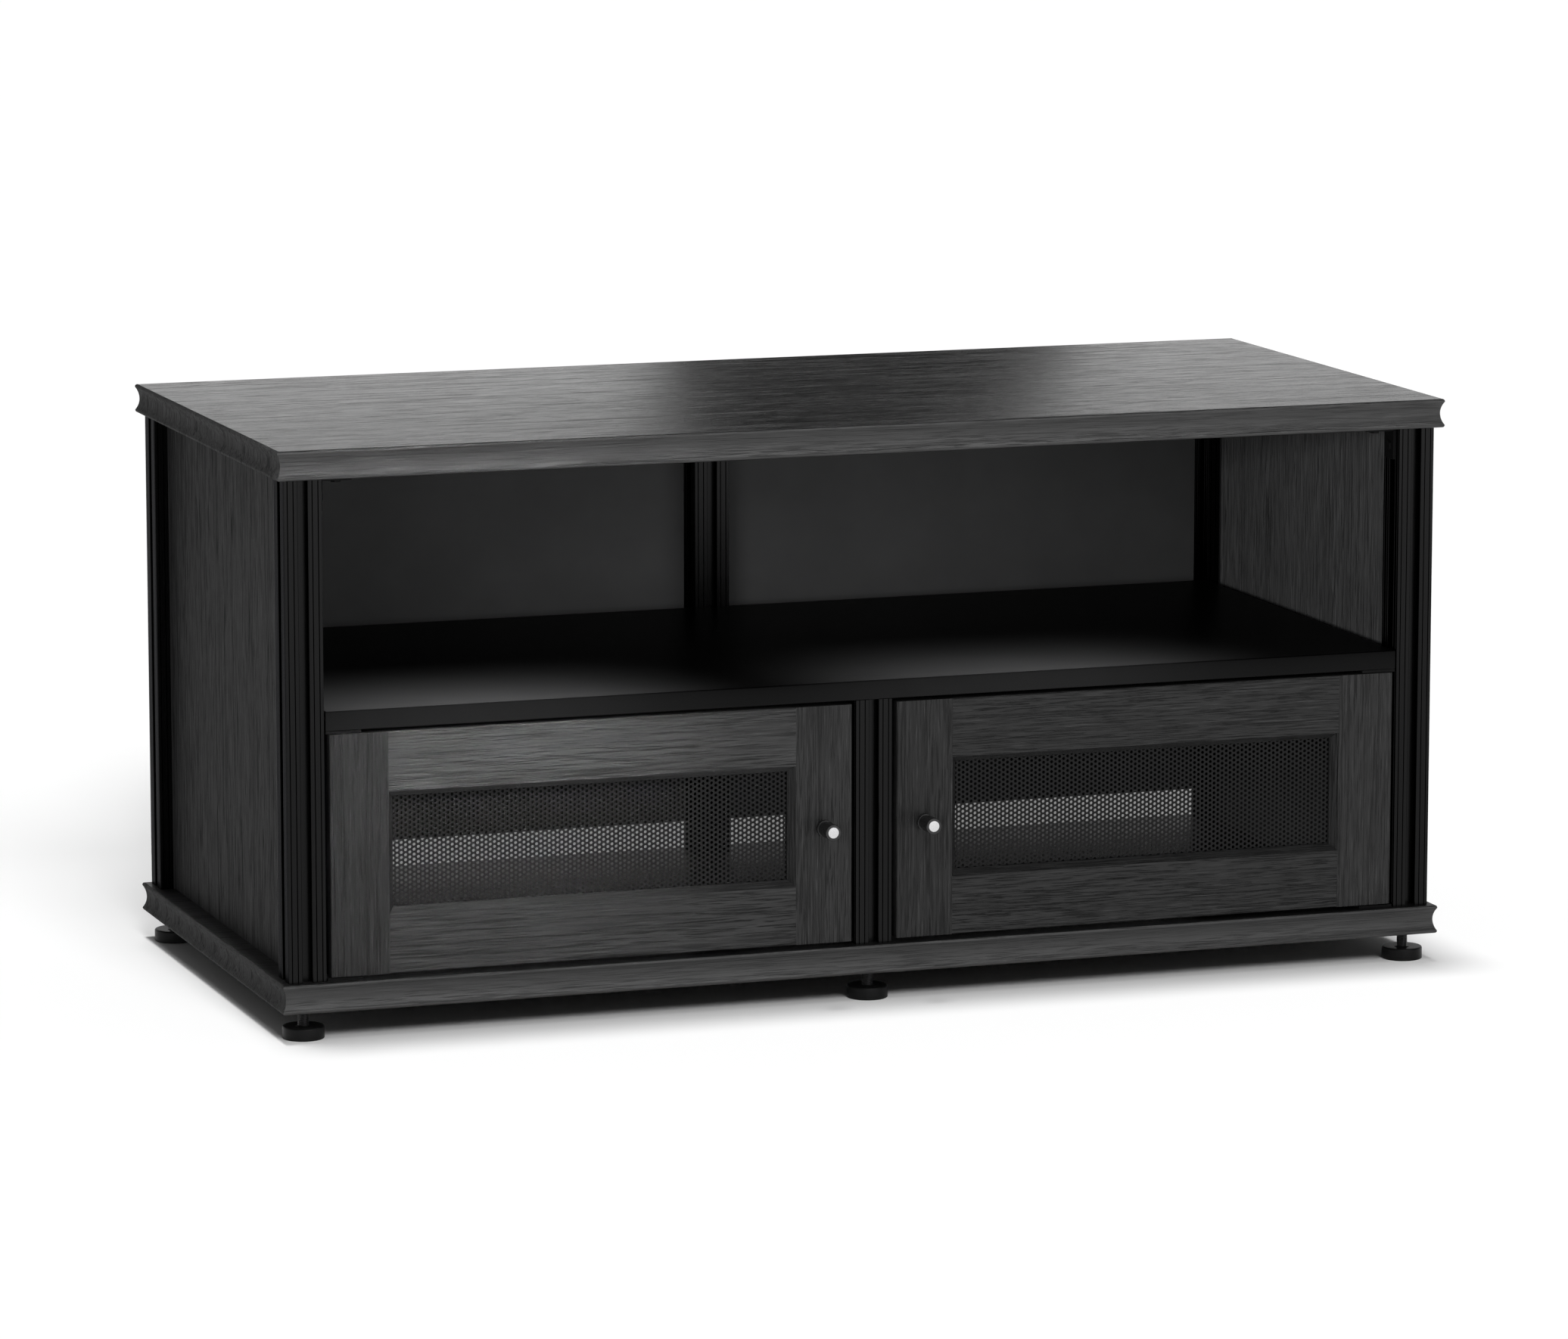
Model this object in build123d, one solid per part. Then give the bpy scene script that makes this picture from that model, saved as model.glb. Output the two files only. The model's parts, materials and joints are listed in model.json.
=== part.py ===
from build123d import *
import os

# Low two-bay cabinet for hi-fi and television equipment, sizes in millimetres.
# X runs to the right seen from the front, Y to the back, Z up from the floor.

# Carcass
overall_width = 1130.0
overall_depth = 514.0
overall_height = 536.5
floor_gap = 26.5
base_thickness = 27.0
top_thickness = 27.0
edge_round = 2.2
lip_height = 2.6
cove_depth = 3.4

# Posts, extruded with a slot in each face
post_size = 35.0
post_inset = 7.5
post_corner = 1.2
slot_width = 9.5
slot_lip = 2.6
slot_depth = 8.5
slot_cavity = 16.0
core_bore = 13.0
core_sides = 6

# Side and back panels
panel_thickness = 6.0
panel_entry = 6.0
panel_head_gap = 0.5
gasket_floor = 1.0
gasket_fit = 0.05
back_thickness = 4.0
back_floor_gap = 27.0
back_head_gap = 1.0
back_side_inset = 1.0
seam_gap = 8.0
seam_strip_width = 26.0
seam_strip_thickness = 1.5
back_screw_inset = 20.0

# Shelf over the lower bay
bay_height = 228.0
shelf_thickness = 18.0
shelf_side_gap = 1.5
shelf_rear_gap = 0.2
peg_entry = 18.0
peg_slack = 0.1

# Doors
door_side_gap = 4.5
door_floor_gap = 3.8
door_head_gap = 3.0
door_thickness = 19.0
door_proud = 1.5
member_width = 60.0
bevel_width = 5.5
bevel_depth = 8.0
sight_lip = 2.0
rebate_width = 8.0
door_edge_break = 0.8
sheet_thickness = 1.0
sheet_slack = 1.0
hole_pitch = 36.0
hole_across = 25.0
bead_width = 7.0
bead_depth = 7.0

# Door pivots, catches and knobs
pivot_from_edge = 12.0
pivot_from_front = 10.0
pivot_pin = 6.0
pin_entry = 12.0
pin_clearance = 0.05
bush_outer = 10.0
bush_length = 13.0
bush_fit = 0.02
bush_flange = 13.0
bush_sides = 8
thrust_gap = 0.3
plate_length = 33.0
plate_width = 16.0
plate_thickness = 2.5
plate_post_gap = 1.5
plate_screw_spread = 25.0
catch_from_edge = 27.0
catch_length = 26.0
catch_ears = 44.0
catch_width = 14.0
catch_height = 13.0
catch_gap = 0.3
catch_screw_spread = 35.0
strike_length = 26.0
strike_height = 12.0
strike_thickness = 1.2
knob_from_edge = 27.0
knob_below_middle = 3.0
knob_length = 26.0
knob_collar = 15.5
knob_collar_length = 4.0
knob_neck = 11.5
knob_neck_length = 5.0
knob_head = 15.0
knob_disc = 10.5
disc_thickness = 1.5
knob_screw = 4.0
knob_screw_entry = 11.0

# Levelling feet
pad_diameter = 38.0
pad_height = 11.5
pad_sides = 30
stud_diameter = 10.0
stud_sides = 12
stud_engagement = 14.0
stud_clearance = 0.3
leveller_flange = 24.0
leveller_flange_height = 3.0
leveller_entry = 18.0
leveller_fit = 0.1

# Brackets and screws
bracket_leg = 30.0
bracket_width = 20.0
bracket_thickness = 3.0
bracket_hole = 18.0
bearer_ahead = 62.0
bearer_behind = 13.0
bearer_screw_ahead = 42.0
slot_screw = 5.0
slot_screw_head = 9.5
slot_screw_head_height = 1.8
nut_thickness = 4.0
nut_slack = 3.0
wood_screw = 4.0
wood_screw_head = 8.0
wood_screw_head_height = 2.4
wood_screw_length = 16.0
plate_screw = 3.5
plate_screw_head = 6.5
plate_screw_length = 14.0
hole_slack = 0.1
screw_sides = 6

# Levels and planes worked out from the sizes above
base_top = floor_gap + base_thickness
top_under = overall_height - top_thickness
shelf_under = base_top + bay_height
shelf_top = shelf_under + shelf_thickness
post_half = post_size / 2
post_x = overall_width / 2 - post_inset - post_half
post_y = overall_depth / 2 - post_inset - post_half
inner_x = post_x - post_half
inner_y = post_y - post_half
post_face_y = post_y + post_half
shelf_half = inner_x - shelf_side_gap
door_front = -post_face_y - door_proud
door_back = door_front + door_thickness
door_x0 = post_half + door_side_gap
door_x1 = inner_x - door_side_gap
door_z0 = base_top + door_floor_gap
door_z1 = shelf_under - door_head_gap
knob_front = door_front - knob_length
pivot_x = door_x1 - pivot_from_edge
pivot_y = door_front + pivot_from_front
back_z0 = base_top + back_floor_gap
back_z1 = top_under - back_head_gap
foot_spots = {
    "front_left": (-post_x, -post_y),
    "front_right": (post_x, -post_y),
    "rear_left": (-post_x, post_y),
    "rear_right": (post_x, post_y),
    "front_centre": (0, -post_y),
    "rear_centre": (0, post_y),
}
# The knobs reach past the front lip, so everything is shifted to keep the origin
# in the middle of the whole outline.
centre_shift = -(knob_front + overall_depth / 2) / 2


def save(name, *solids):
    moved = [Pos(0, centre_shift, 0) * s for s in solids]
    shape = moved[0] if len(moved) == 1 else Compound(children=moved)
    export_step(shape, f"parts/{name}.step")


def block(x0, x1, y0, y1, z0, z1):
    size = Box(x1 - x0, y1 - y0, z1 - z0)
    return Pos((x0 + x1) / 2, (y0 + y1) / 2, (z0 + z1) / 2) * size


def rod(diameter, start, end, sides=0):
    # Bar between two points that differ along one axis, round or with flat sides
    start, end = Vector(*start), Vector(*end)
    way = end - start
    across = (0, 0, 1) if way.X else (1, 0, 0)
    outline = RegularPolygon(diameter / 2, sides, major_radius=False) if sides else Circle(diameter / 2)
    return Location(Plane(start, x_dir=across, z_dir=way)) * extrude(outline, way.length)


def screw_rod(diameter, start, end):
    # Small fasteners and their holes are six-sided, which keeps the faces few
    return rod(diameter, start, end, screw_sides)


def mirrored(shape):
    return mirror(shape, about=Plane.YZ)


def both_sides(shapes):
    return shapes + [mirrored(s) for s in shapes]


def moulded_board(z0, z1):
    # Board with rounded edges and a cove cut along each of its four sides
    half_x, half_y = overall_width / 2, overall_depth / 2
    board = block(-half_x, half_x, -half_y, half_y, z0, z1)
    rims = board.edges().filter_by(Axis.Z, reverse=True)
    board = fillet(rims, edge_round)
    low, high = z0 + lip_height, z1 - lip_height
    for turn, reach, length in ((0, half_y, overall_width), (90, half_x, overall_depth)):
        hollow = ThreePointArc((reach, low), (reach - cove_depth, (low + high) / 2), (reach, high))
        outside = Polyline((reach, high), (reach + 1, high), (reach + 1, low), (reach, low))
        cutter = extrude(Plane.YZ * make_face([hollow, outside]), length / 2 + 1, both=True)
        for side in (0, 180):
            board -= Rot(0, 0, turn + side) * cutter
    return board


def post_section():
    # Square section with a core hole, and a slot with a wider inner channel on each face
    square = Rectangle(post_size, post_size)
    section = chamfer(square.vertices(), post_corner)
    mouth = slot_lip + 1
    cuts = Pos(0, post_half - slot_lip + mouth / 2) * Rectangle(slot_width, mouth)
    channel = slot_depth - slot_lip
    cuts += Pos(0, post_half - slot_lip - channel / 2) * Rectangle(slot_cavity, channel)
    for turn in (0, 90, 180, 270):
        section -= Rot(0, 0, turn) * cuts
    return section - RegularPolygon(core_bore / 2, core_sides, major_radius=False)


def post(x, y, top, section):
    return Pos(x, y, base_top) * extrude(section, top - base_top)


def angle_bracket(y0, y1, post_hole_y, panel_hole_y):
    # Bent plate in its own frame: x away from the post, z away from the panel it holds
    t = bracket_thickness
    plate = block(0, bracket_leg, y0, y1, 0, t) + block(0, t, y0, y1, 0, bracket_leg)
    hole = slot_screw + 2 * hole_slack
    plate -= screw_rod(hole, (-1, post_hole_y, bracket_hole), (t + 1, post_hole_y, bracket_hole))
    hole = wood_screw + 2 * hole_slack
    return plate - screw_rod(hole, (bracket_hole, panel_hole_y, -1), (bracket_hole, panel_hole_y, t + 1))


def slot_bolt(under_head, y, z):
    # Screw along x whose head sits at under_head and whose shank runs into the post
    length = bracket_thickness + slot_depth - 0.5
    shank = screw_rod(slot_screw, (under_head - length, y, z), (under_head, y, z))
    head_end = under_head + slot_screw_head_height
    return shank + screw_rod(slot_screw_head, (under_head, y, z), (head_end, y, z))


def slot_nut(y, z):
    half = (slot_cavity - nut_slack) / 2
    nut = block(-slot_lip - nut_thickness, -slot_lip, y - half, y + half, z - half, z + half)
    return nut - screw_rod(slot_screw + 2 * hole_slack, (-slot_depth, y, z), (0, y, z))


def panel_screw(y):
    t = bracket_thickness
    shank = screw_rod(wood_screw, (bracket_hole, y, t - wood_screw_length), (bracket_hole, y, t))
    head_end = t + wood_screw_head_height
    return shank + screw_rod(wood_screw_head, (bracket_hole, y, t), (bracket_hole, y, head_end))


def panel_bore(y):
    # Pilot hole that the panel screw needs in its board
    depth = wood_screw_length - bracket_thickness + 1
    return screw_rod(wood_screw + 2 * hole_slack, (bracket_hole, y, -depth), (bracket_hole, y, 0))


def countersunk(head, shank, length):
    # Head that narrows at 45 degrees into its shank, along z from the head's face
    sunk = (head - shank) / 2
    wide = RegularPolygon(head / 2, screw_sides, major_radius=False)
    narrow = RegularPolygon(shank / 2, screw_sides, major_radius=False)
    return extrude(wide, sunk, taper=45) + extrude(narrow, length)


def plate_fixing(x, y, level, up):
    # Screw with its head flush at level, driven along up (1 or -1) into a board
    screw = countersunk(plate_screw_head, plate_screw, plate_screw_length)
    return Pos(x, y, level) * (Rot(0, 0 if up > 0 else 180, 0) * screw)


def plate_bore(x, y, level, up):
    # Hole for a plate fixing, a little larger all round, through the plate and into the board
    grow = 2 * hole_slack
    hole = countersunk(plate_screw_head + grow, plate_screw + grow, plate_screw_length + 1)
    return Pos(x, y, level) * (Rot(0, 0 if up > 0 else 180, 0) * hole)


def member(length):
    # Door frame member along z, its outer edge at x = 0 and its front face at y = 0
    w, t, e = member_width, door_thickness, door_edge_break
    lip = bevel_depth + sight_lip
    outline = Polyline(
        (e, 0), (w - bevel_width, 0), (w, bevel_depth), (w, lip), (w - rebate_width, lip),
        (w - rebate_width, t), (e, t), (0, t - e), (0, e), close=True,
    )
    return extrude(make_face(outline), length)


def perforated_sheet(width, height):
    # Staggered holes over the part of the sheet that shows between the frame members
    column_step = hole_pitch * 0.75**0.5
    field_x = width / 2 - rebate_width - hole_across / 2
    field_z = height / 2 - rebate_width - hole_across / 2
    columns = int(field_x / column_step)
    spots = []
    for c in range(-columns, columns + 1):
        lift = hole_pitch / 2 if c % 2 else 0.0
        rows = int((field_z + lift) / hole_pitch)
        heights = [r * hole_pitch - lift for r in range(-rows, rows + 1)]
        spots += [(c * column_step, z) for z in heights if abs(z) <= field_z]
    face = Rectangle(width, height) - Locations(spots) * RegularPolygon(hole_across / 2, 6)
    return Location(Plane.XZ) * extrude(face, -sheet_thickness)


def knob_solid():
    # Turned knob along -y from the door face, with a recess for the bright disc
    collar, neck, head = knob_collar / 2, knob_neck / 2, knob_head / 2
    z1 = knob_collar_length
    z2 = z1 + knob_neck_length
    z3 = knob_length
    recess = knob_disc / 2 + hole_slack
    floor = z3 - disc_thickness
    outline = Polyline(
        (0, 0), (collar, 0), (collar, z1), (neck, z1), (neck, z2), (head, z2), (head, z3), (recess, z3),
        (recess, floor), (0, floor), close=True,
    )
    turned = revolve(Location(Plane.XZ) * make_face(outline), Axis.Z)
    return turned - screw_rod(knob_screw + 2 * hole_slack, (0, 0, -1), (0, 0, knob_screw_entry + 1))


os.makedirs("parts", exist_ok=True)

# Brackets: the top is held to five posts and the shelf to four, each with the same screws
right_top = Plane((inner_x, -post_y, top_under), x_dir=(-1, 0, 0), z_dir=(0, 0, -1))
right_rear_top = Plane((inner_x, post_y, top_under), x_dir=(-1, 0, 0), z_dir=(0, 0, -1))
middle_top = Plane((0, inner_y, top_under), x_dir=(0, -1, 0), z_dir=(0, 0, -1))
middle_rear_shelf = Plane((0, inner_y, shelf_under), x_dir=(0, -1, 0), z_dir=(0, 0, -1))
middle_front_shelf = Plane((0, -inner_y, shelf_under), x_dir=(0, 1, 0), z_dir=(0, 0, -1))
right_bearer = Plane((inner_x, post_y, shelf_under), x_dir=(-1, 0, 0), z_dir=(0, 0, -1))
short_bracket = angle_bracket(-bracket_width / 2, bracket_width / 2, 0, 0)
bearer = angle_bracket(-bearer_ahead, bearer_behind, 0, -bearer_screw_ahead)


def at_spots(shape, sides, middles):
    placed = both_sides([Location(p) * shape for p in sides])
    return placed + [Location(p) * shape for p in middles]


top_sides = [right_top, right_rear_top]
shelf_middles = [middle_rear_shelf, middle_front_shelf]
bolt = slot_bolt(bracket_thickness, 0, bracket_hole)
nut = slot_nut(0, bracket_hole)
angle_brackets = at_spots(short_bracket, top_sides, [middle_top] + shelf_middles)
angle_brackets += at_spots(bearer, [right_bearer], [])
slot_screws = at_spots(bolt, top_sides + [right_bearer], [middle_top] + shelf_middles)
slot_nuts = at_spots(nut, top_sides + [right_bearer], [middle_top] + shelf_middles)
wood_screws = at_spots(panel_screw(0), top_sides, [middle_top] + shelf_middles)
wood_screws += at_spots(panel_screw(-bearer_screw_ahead), [right_bearer], [])
top_bores = at_spots(panel_bore(0), top_sides, [middle_top])
shelf_bores = at_spots(panel_bore(0), [], shelf_middles)
shelf_bores += at_spots(panel_bore(-bearer_screw_ahead), [right_bearer], [])

# Back panels, the strip over their seam, and the screws that hold both to the rear slots
back_face = post_face_y
back_rear = back_face + back_thickness
screw_levels = (back_z0 + back_screw_inset, back_z1 - back_screw_inset)
back_panel = block(
    seam_gap / 2, post_x + post_half - back_side_inset, back_face, back_rear, back_z0, back_z1
)
strip_rear = back_rear + seam_strip_thickness
strip_half = seam_strip_width / 2
seam_strip = block(-strip_half, strip_half, back_rear, strip_rear, back_z0, back_z1)
through = screw_rod(slot_screw + 2 * hole_slack, (-1, 0, 0), (strip_rear - back_face + 1, 0, 0))
for level in screw_levels:
    at_post = Location(Plane((post_x, back_face, level), x_dir=(0, 1, 0), z_dir=(0, 0, 1)))
    at_seam = Location(Plane((0, back_face, level), x_dir=(0, 1, 0), z_dir=(0, 0, 1)))
    back_panel -= at_post * through
    seam_strip -= at_seam * through
    slot_screws += both_sides([at_post * slot_bolt(back_thickness, 0, 0)])
    slot_screws.append(at_seam * slot_bolt(back_thickness + seam_strip_thickness, 0, 0))
    slot_nuts += both_sides([at_post * slot_nut(0, 0)]) + [at_seam * slot_nut(0, 0)]

# Door pivots on the base and under the shelf, each a plate with a pin, and the catches
plate_x1 = inner_x - plate_post_gap
plate_x0 = plate_x1 - plate_length
plate_y0 = pivot_y - plate_width / 2
plate_y1 = pivot_y + plate_width / 2
plate_mid = (plate_x0 + plate_x1) / 2
plate_holes = [plate_mid - plate_screw_spread / 2, plate_mid + plate_screw_spread / 2]
lower_level = base_top + plate_thickness
upper_level = shelf_under - plate_thickness
lower_pivot = block(plate_x0, plate_x1, plate_y0, plate_y1, base_top, lower_level)
upper_pivot = block(plate_x0, plate_x1, plate_y0, plate_y1, upper_level, shelf_under)
catch_x = door_x0 + catch_from_edge
catch_y0 = door_back + strike_thickness + catch_gap
catch_y1 = catch_y0 + catch_width
catch_floor = shelf_under - catch_height
ear_level = shelf_under - plate_thickness
half = catch_length / 2
catch = block(catch_x - half, catch_x + half, catch_y0, catch_y1, catch_floor, shelf_under)
half = catch_ears / 2
catch += block(catch_x - half, catch_x + half, catch_y0, catch_y1, ear_level, shelf_under)
catch_mid = (catch_y0 + catch_y1) / 2
catch_holes = [catch_x - catch_screw_spread / 2, catch_x + catch_screw_spread / 2]
plate_screws = []
base_bores = []
for x in plate_holes:
    plate_screws += [plate_fixing(x, pivot_y, lower_level, -1), plate_fixing(x, pivot_y, upper_level, 1)]
    base_bores.append(plate_bore(x, pivot_y, lower_level, -1))
    shelf_bores += both_sides([plate_bore(x, pivot_y, upper_level, 1)])
    lower_pivot -= plate_bore(x, pivot_y, lower_level, -1)
    upper_pivot -= plate_bore(x, pivot_y, upper_level, 1)
for x in catch_holes:
    plate_screws.append(plate_fixing(x, catch_mid, ear_level, 1))
    shelf_bores += both_sides([plate_bore(x, catch_mid, ear_level, 1)])
    catch -= plate_bore(x, catch_mid, ear_level, 1)
lower_pivot += rod(pivot_pin, (pivot_x, pivot_y, base_top), (pivot_x, pivot_y, door_z0 + pin_entry))
upper_pivot += rod(pivot_pin, (pivot_x, pivot_y, door_z1 - pin_entry), (pivot_x, pivot_y, shelf_under))
save("door_pivots", *both_sides([lower_pivot, upper_pivot]))
save("door_catches", catch, mirrored(catch))
save("plate_screws", *both_sides(plate_screws))

# Top and base: boards with moulded edges, the base with stepped holes for the levellers
top_panel = moulded_board(top_under, overall_height)
for bore in top_bores:
    top_panel -= bore
save("top_panel", top_panel)
base_panel = moulded_board(floor_gap, base_top)
sink = leveller_flange + 2 * leveller_fit
for x, y in foot_spots.values():
    sink_top = floor_gap + leveller_flange_height
    base_panel -= rod(core_bore, (x, y, floor_gap - 1), (x, y, base_top + 1), core_sides)
    base_panel -= rod(sink, (x, y, floor_gap - 1), (x, y, sink_top), core_sides)
for bore in both_sides(base_bores):
    base_panel -= bore
save("base_panel", base_panel)

# Threaded levellers clamp the base to the posts, and the feet screw into them
levellers = []
shank = core_bore - 2 * leveller_fit
for x, y in foot_spots.values():
    sleeve_top = base_top + leveller_entry
    flange_top = floor_gap + leveller_flange_height
    sleeve = rod(shank, (x, y, floor_gap), (x, y, sleeve_top), core_sides)
    sleeve += rod(leveller_flange, (x, y, floor_gap), (x, y, flange_top), core_sides)
    bore = stud_diameter + 2 * stud_clearance
    levellers.append(sleeve - rod(bore, (x, y, floor_gap - 1), (x, y, sleeve_top + 1), core_sides))
save("leveller_sleeves", *levellers)

for name, (x, y) in foot_spots.items():
    stud_end = base_top + stud_engagement
    save(f"foot_pad_{name}", rod(pad_diameter, (x, y, 0), (x, y, pad_height), pad_sides))
    save(f"foot_stud_{name}", rod(stud_diameter, (x, y, pad_height), (x, y, stud_end), stud_sides))

# Posts: four full-height corners, one full-height at the back, one short at the front
section = post_section()
for name, (x, y) in foot_spots.items():
    height = shelf_under if name == "front_centre" else top_under
    save(f"post_{name}", post(x, y, height, section))

# Side panels stand in the slots of the corner posts with a rubber channel on each edge
panel_half = panel_thickness / 2
panel_end = inner_y + panel_entry
side_panel = block(
    post_x - panel_half, post_x + panel_half, -panel_end, panel_end, base_top, top_under - panel_head_gap
)
rubber_half = slot_width / 2 - gasket_fit
rubber_end = panel_end + gasket_floor
gasket = block(
    post_x - rubber_half, post_x + rubber_half, inner_y, rubber_end, base_top, top_under - panel_head_gap
)
pocket = panel_half + gasket_fit
gasket -= block(post_x - pocket, post_x + pocket, inner_y - 1, panel_end, base_top - 1, top_under)
gasket_pair = [gasket, mirror(gasket, about=Plane.XZ)]
save("side_panel_right", side_panel)
save("side_panel_left", mirrored(side_panel))
save("panel_gaskets", *both_sides(gasket_pair))
save("back_panel_right", back_panel)
save("back_panel_left", mirrored(back_panel))
save("back_seam_strip", seam_strip)

# Shelf: rests on the short post and brackets, with pegs in the slots of the front corners
peg_x = shelf_half - peg_entry
peg_z = shelf_under + shelf_thickness / 2
peg_diameter = slot_width - 2.0
shelf = block(-shelf_half, shelf_half, -post_face_y, inner_y - shelf_rear_gap, shelf_under, shelf_top)
peg_bore = peg_diameter + 2 * peg_slack
peg_hole = screw_rod(peg_bore, (peg_x - 1, -post_y, peg_z), (shelf_half + 1, -post_y, peg_z))
for bore in shelf_bores + both_sides([peg_hole]):
    shelf -= bore
peg_head = inner_x + slot_lip
half = (slot_cavity - nut_slack) / 2
peg = screw_rod(peg_diameter, (peg_x, -post_y, peg_z), (peg_head, -post_y, peg_z))
peg += block(
    peg_head, peg_head + nut_thickness, -post_y - half, -post_y + half, peg_z - half, peg_z + half
)
save("shelf", shelf)
save("shelf_pegs", peg, mirrored(peg))
save("angle_brackets", *angle_brackets)
save("slot_screws", *slot_screws)
save("slot_nuts", *slot_nuts)
save("wood_screws", *wood_screws)

# Right door, then the left one as its mirror image
door_width = door_x1 - door_x0
door_height = door_z1 - door_z0
upright = member(door_height)
knob_stile = Pos(door_x0, door_front, door_z0) * upright
hinge_stile = Pos(door_x1, door_front, door_z0) * mirrored(upright)
lying = Rot(0, 90, 0) * mirrored(member(door_width - member_width))
rail_bottom = Pos(door_x0 + member_width / 2, door_front, door_z0) * lying
rail_top = mirror(rail_bottom, about=Plane.XY.offset((door_z0 + door_z1) / 2))
rail_bottom -= knob_stile + hinge_stile
rail_top -= knob_stile + hinge_stile
sight_depth = door_front + bevel_depth + sight_lip
door_mid_x = (door_x0 + door_x1) / 2
door_mid_z = (door_z0 + door_z1) / 2
rebate_reach = member_width - rebate_width
sheet_w = door_width - 2 * (rebate_reach + sheet_slack)
sheet_h = door_height - 2 * (rebate_reach + sheet_slack)
screen = Pos(door_mid_x, sight_depth, door_mid_z) * perforated_sheet(sheet_w, sheet_h)
bead_y0 = sight_depth + sheet_thickness
bead_y1 = bead_y0 + bead_depth
bx0, bx1 = door_x0 + rebate_reach, door_x1 - rebate_reach
bz0, bz1 = door_z0 + rebate_reach, door_z1 - rebate_reach
beads = [
    block(bx0, bx1, bead_y0, bead_y1, bz0, bz0 + bead_width),
    block(bx0, bx1, bead_y0, bead_y1, bz1 - bead_width, bz1),
    block(bx0, bx0 + bead_width, bead_y0, bead_y1, bz0 + bead_width, bz1 - bead_width),
    block(bx1 - bead_width, bx1, bead_y0, bead_y1, bz0 + bead_width, bz1 - bead_width),
]
seat = bush_outer + 2 * bush_fit
flange_z = lower_level + thrust_gap
low_end, high_end = door_z0 + bush_length, door_z1 - bush_length


def on_pivot(diameter, z0, z1, sides):
    return rod(diameter, (pivot_x, pivot_y, z0), (pivot_x, pivot_y, z1), sides)


hinge_stile -= on_pivot(seat, door_z0 - 1, low_end, bush_sides)
hinge_stile -= on_pivot(seat, high_end, door_z1 + 1, bush_sides)
bush_low = on_pivot(bush_outer, door_z0, low_end, bush_sides)
bush_low += on_pivot(bush_flange, flange_z, door_z0, bush_sides)
bush_high = on_pivot(bush_outer, high_end, door_z1, bush_sides)
running = on_pivot(pivot_pin + 2 * pin_clearance, base_top, shelf_under, 0)
bush_low -= running
bush_high -= running

knob_x = door_x0 + knob_from_edge
knob_z = door_mid_z - knob_below_middle
knob_at = Location(Plane((knob_x, door_front, knob_z), x_dir=(1, 0, 0), z_dir=(0, -1, 0)))
knob = knob_at * knob_solid()
disc = rod(knob_disc, (knob_x, knob_front, knob_z), (knob_x, knob_front + disc_thickness, knob_z))
screw_end = door_front - knob_screw_entry
head_end = door_back + wood_screw_head_height
knob_bolt = screw_rod(knob_screw, (knob_x, screw_end, knob_z), (knob_x, door_back, knob_z))
knob_bolt += screw_rod(wood_screw_head, (knob_x, door_back, knob_z), (knob_x, head_end, knob_z))
bore = knob_screw + 2 * hole_slack
knob_stile -= screw_rod(bore, (knob_x, door_front - 1, knob_z), (knob_x, door_back + 1, knob_z))

strike_z1 = shelf_under - (catch_height - strike_height) / 2 - plate_thickness
strike_z1 = min(strike_z1, door_z1 - 1)
strike_z0 = strike_z1 - strike_height
half = strike_length / 2
strike = block(
    catch_x - half, catch_x + half, door_back, door_back + strike_thickness, strike_z0, strike_z1
)
strike_z = (strike_z0 + strike_z1) / 2
strike_back = door_back + strike_thickness
strike_turn = Location(Plane((catch_x, strike_back, strike_z), x_dir=(1, 0, 0), z_dir=(0, -1, 0)))
strike_bolt = strike_turn * plate_fixing(0, 0, 0, 1)
strike_bore = strike_turn * plate_bore(0, 0, 0, 1)
strike -= strike_bore
knob_stile -= strike_bore
rail_top -= strike_bore

door = {
    "hinge_stile": [hinge_stile],
    "knob_stile": [knob_stile],
    "rail_top": [rail_top],
    "rail_bottom": [rail_bottom],
    "screen": [screen],
    "screen_beads": beads,
    "bushes": [bush_low, bush_high],
    "knob": [knob],
    "knob_disc": [disc],
    "strike_plate": [strike],
    "screws": [knob_bolt, strike_bolt],
}
for piece, solids in door.items():
    save(f"door_right_{piece}", *solids)
    save(f"door_left_{piece}", *[mirrored(s) for s in solids])
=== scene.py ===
import json
import math

import bpy
import numpy as np
from mathutils import Euler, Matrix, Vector
from mathutils.geometry import tessellate_polygon


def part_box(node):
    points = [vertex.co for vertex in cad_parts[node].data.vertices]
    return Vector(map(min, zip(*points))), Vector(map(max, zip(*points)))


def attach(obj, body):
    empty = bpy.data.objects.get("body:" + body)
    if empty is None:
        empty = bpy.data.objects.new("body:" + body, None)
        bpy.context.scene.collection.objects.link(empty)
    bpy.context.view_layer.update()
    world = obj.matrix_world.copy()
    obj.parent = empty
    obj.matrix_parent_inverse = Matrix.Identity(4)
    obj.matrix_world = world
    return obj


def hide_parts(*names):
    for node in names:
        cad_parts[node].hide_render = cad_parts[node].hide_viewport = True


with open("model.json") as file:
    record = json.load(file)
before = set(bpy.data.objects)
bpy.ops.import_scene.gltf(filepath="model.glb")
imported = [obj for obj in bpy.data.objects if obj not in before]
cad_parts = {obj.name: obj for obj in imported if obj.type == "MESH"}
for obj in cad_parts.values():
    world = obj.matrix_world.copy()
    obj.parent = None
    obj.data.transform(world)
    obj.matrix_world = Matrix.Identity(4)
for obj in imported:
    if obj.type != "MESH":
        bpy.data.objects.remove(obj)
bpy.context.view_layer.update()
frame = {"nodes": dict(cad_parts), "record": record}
nodes = frame["nodes"]
mm = 0.001
quarterTurn = math.pi / 2
creaseAngle = 32.0  # degrees; edges that turn more than this stay crisp
print("frame loaded with", len(nodes), "nodes")


# Meshes

def titled(name):
    return "".join(word.title() for word in name.split("_"))


def boxOf(node):
    lo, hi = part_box(node)
    return np.array(lo), np.array(hi)


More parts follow.
